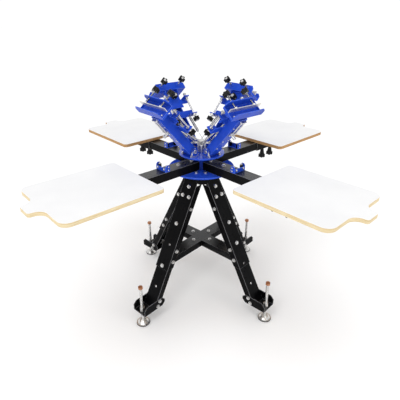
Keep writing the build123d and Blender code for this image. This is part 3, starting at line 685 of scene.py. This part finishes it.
def spring_ends(sector, side):
    """The low end at the anchor plate and the high end at the cross plate's ear."""
    low = carousel_matrix(sector) @ Vector((SPRING_LOW[0], side * SPRING_LOW[1], SPRING_LOW[2]))
    high = head_matrix(sector) @ Vector((SPRING_HIGH[0], side * SPRING_HIGH[1], SPRING_HIGH[2]))
    return low, high


def add_springs(sector):
    for label, side in reversed(SIDES):
        low, high = spring_ends(sector, side)
        coil = tube_along(spring_path(low, high), SPRING_WIRE, 6)
        spring = make_piece(f"lift_spring_{sector}_{label}", [coil], None, STEEL)
        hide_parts("lift_springs")
        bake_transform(spring)


# ---- threads and nuts ----
CLAMP_PLACE = 0.3532
CLAMP_SPREAD = 0.123
CLAMP_ROD = 0.004
CLAMP_THREAD = (0.0165, 0.064)      # height of its start, and its length
CLAMP_NUT_LEVEL = 0.0808
STUD_SPREAD = 0.14
STUD_ROD = 0.005
STUD_THREAD = (0.1635, 0.126)
STUD_NUTS = (0.082, 0.112)          # along the thread, clear of the carriage's ears
STUD_NUT_HEIGHT = 0.006
ROD_RADIUS = 0.008
ROD_THREAD_START = 0.034
ROD_THREAD_LENGTH = ROD_TOP - 0.05


def add_clamp_screws(sector):
    start, length = CLAMP_THREAD
    for label, side in SIDES:
        place = head_matrix(sector) @ Matrix.Translation((CLAMP_PLACE, side * CLAMP_SPREAD / 2, 0))
        shapes = [
            placed(thread(CLAMP_ROD, length, 0.0014, 0.0003), place @ raised(start)),
            placed(hex_nut(0.012, 0.005, CLAMP_ROD), place @ raised(CLAMP_NUT_LEVEL)),
        ]
        screw = f"clamp_screw_{sector}_{label}"
        make_piece(f"clamp_thread_{sector}_{label}", shapes, screw, STEEL)


def add_stud_threads(sector):
    """The thread of an adjusting stud, with two nuts and washers."""
    start_x, length = STUD_THREAD
    for label, side in SIDES:
        start = head_matrix(sector) @ facing_out(start_x, side * STUD_SPREAD / 2, STUD_LEVEL)
        shapes = [placed(thread(STUD_ROD, length), start)]
        for shift in STUD_NUTS:
            nut = hex_nut(0.016, STUD_NUT_HEIGHT, STUD_ROD)
            plate = washer(0.0105, STUD_ROD, 0.0012)
            shapes.append(placed(nut, start @ raised(shift)))
            shapes.append(placed(plate, start @ raised(shift + STUD_NUT_HEIGHT + 0.0002)))
        make_piece(f"stud_thread_{sector}_{label}", shapes, f"print_head_{sector}", STEEL)


def add_levelling_thread(sector):
    place = leg_matrix(sector) @ Matrix.Translation((FOOT_RADIUS, 0, ROD_THREAD_START))
    shapes = [placed(thread(ROD_RADIUS, ROD_THREAD_LENGTH, 0.0022, 0.00055, 20), place)]
    make_piece(f"levelling_thread_{sector}", shapes, f"levelling_foot_{sector}", STEEL)


for sector in SECTORS:
    add_springs(sector)
    add_clamp_screws(sector)
    add_stud_threads(sector)
    add_levelling_thread(sector)


# ---- bolts: washers, raised heads and thread ends on the CAD bolts ----
BOLT_HEAD = 0.0065
BOLT_ROD = 0.005
BOLT_WASHER = 0.0112


def mesh_islands(node):
    """The separate solids of a CAD node, as corners and face normals in world coordinates."""
    mesh = node.data
    place = node.matrix_world
    turn = place.to_3x3()
    points = [place @ vertex.co for vertex in mesh.vertices]
    keys = [tuple(round(value * 1e5) for value in point) for point in points]
    parent = {key: key for key in keys}

    def root(key):
        while parent[key] != key:
            parent[key] = parent[parent[key]]
            key = parent[key]
        return key

    for face in mesh.polygons:
        first = root(keys[face.vertices[0]])
        for index in face.vertices[1:]:
            parent[root(keys[index])] = first
    islands = {}
    for face in mesh.polygons:
        corners, normals = islands.setdefault(root(keys[face.vertices[0]]), ([], []))
        corners += [points[index] for index in face.vertices]
        normals.append(((turn @ face.normal).normalized(), face.area))
    return list(islands.values())


def bolt_axis(corners, normals):
    """The axis of a bolt: the direction that most flat area faces. Returns its two ends."""
    best, direction = 0.0, None
    for normal, area in sorted(normals, key=lambda item: -item[1])[:12]:
        facing = sum(a for other, a in normals if abs(other.dot(normal)) > 0.999)
        if facing > best:
            best, direction = facing, normal.normalized()
    along_axis = [corner.dot(direction) for corner in corners]
    middle = sum(corners, Vector()) / len(corners)
    middle -= direction * middle.dot(direction)
    return middle + direction * min(along_axis), middle + direction * max(along_axis)


def bolt_trim(node_name, inward):
    """Washers, raised head faces and thread ends for every bolt of a node."""
    shapes = []
    for corners, normals in mesh_islands(frame["nodes"][node_name]):
        tail, head = bolt_axis(corners, normals)
        if (tail - inward).length > (head - inward).length:
            tail, head = head, tail
        head_end = along(head, head * 2 - tail)
        tail_end = along(tail, tail * 2 - head)
        for out in (head_end, tail_end):
            shapes.append(placed(washer(BOLT_WASHER, BOLT_ROD, 0.0013), out @ raised(-BOLT_HEAD)))
        crown = lathe([(0.0074, -0.0002), (0.0074, 0.0003), (0.0066, 0.0008), (0, 0.0009)], 24)
        core = BOLT_ROD * 0.92
        stub = lathe([(core, -0.0005), (core, 0.0022), (BOLT_ROD * 0.7, 0.0032), (0, 0.0032)], 20)
        shapes.append(placed(crown, head_end))
        shapes.append(placed(stub, tail_end))
        shapes.append(placed(thread(core, 0.0024, 0.0008, 0.0002, 12), tail_end))
    return shapes


# ---- knob inserts, pin rings, clamp bolts and gate screws ----
def insert(radius):
    """A stud end with a raised ring, as it shows in the middle of a knob's face."""
    rim = [(1.9, -0.0003), (1.9, 0.0008), (1.6, 0.0011), (1.2, 0.0011), (1.2, 0.0004)]
    end = [(1.0, 0.0004), (1.0, 0.0021), (0.75, 0.0029), (0, 0.003)]
    return lathe([(radius * share, height) for share, height in rim + end], 28)


def button_head(radius, height=0.0022):
    """A low domed screw head with a hollow in its middle."""
    dome = [(1.0, 0.35), (0.8, 0.85), (0.5, 1.0), (0.42, 1.0), (0.38, 0.4), (0, 0.4)]
    return lathe([(radius, -0.0003)] + [(radius * out, height * up) for out, up in dome], 24)


CLAMP_KNOB_TOP = 0.108
STUD_KNOB_FACE = 0.108
LOCK_KNOB = (0.285, 0.0, 0.06)
PIN_RING = 0.0453
JAW_WEB = 0.329
JAW_BOLTS = ((-0.074, -0.014), (-0.03, -0.014), (0.03, -0.014), (0.074, -0.014),
             (-0.03, 0.024), (0.03, 0.024))
ARM_BOLTS = (0.06, 0.125, 0.235)
ARM_BOLT_SIDE = 0.019
ARM_UNDERSIDE = -0.0263
GATE_RADIUS = 0.272
GATE_FACE = 0.2885
GATE_SIDE = 0.04
GATE_SIDE_SCREWS = (0.011, 0.027)   # heights above the platen arm
GATE_FACE_SCREW = (0.026, 0.014)    # to each side, and above the arm
KNOB_RADII = {"inner": 0.53, "outer": 0.612}
KNOB_SHIFT = -0.02
KNOB_BOTTOM = ARM_TOP - 0.1195
SMALL_WASHER = (0.0062, 0.003, 0.0009)


def add_head_hardware(sector):
    """Insert of the lock knob, rings on the pivot pin and screws along the arm's underside."""
    head = head_matrix(sector)
    shapes = [placed(insert(0.005), head @ Matrix.Translation(LOCK_KNOB))]
    for side in (-1, 1):
        pin = head @ along((0, side * PIN_RING, 0), (0, side, 0))
        shapes.append(placed(washer(0.0125, 0.0081, 0.0016), pin))
        y = side * STUD_SPREAD / 2
        stud = head @ along((STUD_KNOB_FACE, y, STUD_LEVEL), (0, y, STUD_LEVEL))
        shapes.append(placed(insert(STUD_ROD), stud))
        for x in ARM_BOLTS:
            under = head @ facing_down(x, side * ARM_BOLT_SIDE, ARM_UNDERSIDE)
            shapes.append(placed(button_head(0.0046), under))
    make_piece(f"head_hardware_{sector}", shapes, f"print_head_{sector}", STEEL)


def add_clamp_bolts(sector):
    """Bolts that hold the clamp's back wall to the carriage."""
    head = head_matrix(sector)
    shapes = []
    for y, height in JAW_BOLTS:
        start = head @ facing_out(JAW_WEB, y, height)
        shapes.append(placed(washer(*SMALL_WASHER), start))
        shapes.append(placed(button_head(0.0048, 0.0028), start @ raised(0.0008)))
    make_piece(f"clamp_bolts_{sector}", shapes, f"clamp_{sector}", STEEL)


def add_clamp_inserts(sector):
    for label, side in SIDES:
        place = (CLAMP_PLACE, side * CLAMP_SPREAD / 2, CLAMP_KNOB_TOP)
        top = head_matrix(sector) @ Matrix.Translation(place)
        make_piece(f"clamp_insert_{sector}_{label}", [placed(insert(CLAMP_ROD), top)],
                   f"clamp_screw_{sector}_{label}", STEEL)


def add_platen_inserts(sector):
    for label, radius in KNOB_RADII.items():
        start = platen_matrix(sector) @ facing_down(radius, KNOB_SHIFT, KNOB_BOTTOM)
        make_piece(f"platen_insert_{sector}_{label}", [placed(insert(0.005), start)],
                   f"platen_knob_{sector}_{label}", STEEL)


def gate_screws(sector):
    """Adjusting screws at the sides of a registration gate and screws through its outer wall."""
    place = platen_matrix(sector)
    face_side, face_height = GATE_FACE_SCREW
    shapes = []
    for side in (-1, 1):
        for height in GATE_SIDE_SCREWS:
            z = ARM_TOP + height
            start = place @ along((GATE_RADIUS, side * GATE_SIDE, z), (GATE_RADIUS, side, z))
            shapes.append(placed(hex_nut(0.008, 0.0035, 0.003), start))
            shapes.append(placed(tube_along([(0, 0, -0.001), (0, 0, 0.0062)], 0.0028, 12), start))
        start = place @ facing_out(GATE_FACE, side * face_side, ARM_TOP + face_height)
        shapes.append(placed(washer(*SMALL_WASHER), start))
        shapes.append(placed(button_head(0.0048, 0.003), start @ raised(0.0008)))
    return shapes


# ---- hooks of the lift springs ----
HOOK_RADIUS = 0.0052
HOOK_SINK = Vector((0, 0, 0.003))       # from a spring's low end down to the middle of its hook
NUT_RISE = Vector((0, 0, 0.0005))


def ring(radius, wire, matrix):
    """A closed ring of round wire about the Z axis of the matrix."""
    path = []
    count = 40
    for step in range(count + 1):
        angle = 2 * math.pi * step / count
        path.append(matrix @ Vector((radius * math.cos(angle), radius * math.sin(angle), 0)))
    return tube_along(path, wire, 8)


def hook_matrix(place, towards):
    """A frame at place whose Z axis lies level, across the line towards another point."""
    line = (Vector(towards) - Vector(place)).normalized()
    across = line.cross(Vector((0, 0, 1))).normalized()
    return along(place, Vector(place) + across)


def add_spring_hooks():
    low_rings = []
    for sector in SECTORS:
        high_rings = []
        for side in (-1, 1):
            low, high = spring_ends(sector, side)
            nut = hex_nut(0.007, 0.003, 0.0015)
            low_rings.append(ring(HOOK_RADIUS, SPRING_WIRE, hook_matrix(low - HOOK_SINK, high)))
            low_rings.append(placed(nut, Matrix.Translation(low + NUT_RISE)))
            high_rings.append(ring(HOOK_RADIUS, SPRING_WIRE, hook_matrix(high, low)))
        make_piece(f"spring_hooks_{sector}", high_rings, f"print_head_{sector}", STEEL)
    make_piece("spring_eyes", low_rings, "head_carousel", STEEL)


# ---- weld beads ----
CROSS_PLATE_SEAM = 0.152            # from the pivot axis to the cross plate's seam on the arm
JAW_BACK_SEAM = 0.3251              # and to the back and the front of the clamp's wall
JAW_FRONT_SEAM = 0.3292


def bead_radius(radius, step):
    return radius * (0.86 + 0.14 * math.sin(2 * math.pi * step / 3))


def weld_ring(radius, height, bead):
    """A rippled weld bead round an upright tube."""
    count = 96
    angles = [2 * math.pi * step / count for step in range(count + 1)]
    path = [Vector((radius * math.cos(angle), radius * math.sin(angle), height)) for angle in angles]
    return tube_along(path, [bead_radius(bead, step) for step in range(count + 1)], 8)


def add_welds():
    """Beads where the pressed steel pieces are joined."""
    post_bead = weld_ring(0.0242, UPPER_DISC_TOP + 0.0004, 0.0022)
    make_piece("post_weld", [post_bead], "head_carousel", BLUE)
    for sector in SECTORS:
        head = head_matrix(sector)
        shapes = []
        for side in (-1, 1):
            y = side * 0.0302
            shapes.append(weld((CROSS_PLATE_SEAM, y, 0.0214), (CROSS_PLATE_SEAM + 0.036, y, 0.0214)))
            shapes.append(weld((0.1541, side * 0.036, 0.0258), (0.1541, side * 0.084, 0.0258), 0.0018))
        make_piece(f"head_welds_{sector}", [placed(shape, head) for shape in shapes],
                   f"print_head_{sector}", BLUE)
        shapes = []
        for side in (-1, 1):
            y = side * 0.0998
            back = [(JAW_BACK_SEAM, side * reach, 0.0300) for reach in (0.046, 0.1)]
            shapes.append(weld(*back, 0.0012))
            shapes.append(weld((JAW_FRONT_SEAM, y, -0.0275), (JAW_FRONT_SEAM, y, 0.0415), 0.0018))
        shapes.append(weld((0.3294, -0.099, -0.0282), (0.3294, 0.099, -0.0282), 0.0018))
        make_piece(f"clamp_welds_{sector}", [placed(shape, head) for shape in shapes],
                   f"clamp_{sector}", BLUE)


# ---- feet ----
def add_foot_trim(sector):
    """A rubber ring round the pad of a levelling foot."""
    place = leg_matrix(sector) @ Matrix.Translation((FOOT_RADIUS, 0, 0))
    profile = [(0.0368, 0.0012), (0.0382, 0.0018), (0.0385, 0.004), (0.038, 0.0062), (0.0366, 0.0068)]
    rubber = lathe(profile, 48)
    make_piece(f"foot_rubber_{sector}", [placed(rubber, place)],
               f"levelling_foot_{sector}", KNOB)


# The thread end of each bolt is the one nearer to a point on the spindle's axis, at the given height.
for name, body, height in (("stand_bolts", "stand", 0.45), ("carousel_bolts", "platen_carousel", 0.2)):
    make_piece(f"{name}_trim", bolt_trim(name, Vector((0, 0, height))), body, STEEL)
gate_shapes = []
for sector in SECTORS:
    gate_shapes += gate_screws(sector)
    add_head_hardware(sector)
    add_clamp_bolts(sector)
    add_clamp_inserts(sector)
    add_platen_inserts(sector)
    add_foot_trim(sector)
make_piece("gate_screws", gate_shapes, "platen_carousel", STEEL)
add_spring_hooks()
add_welds()
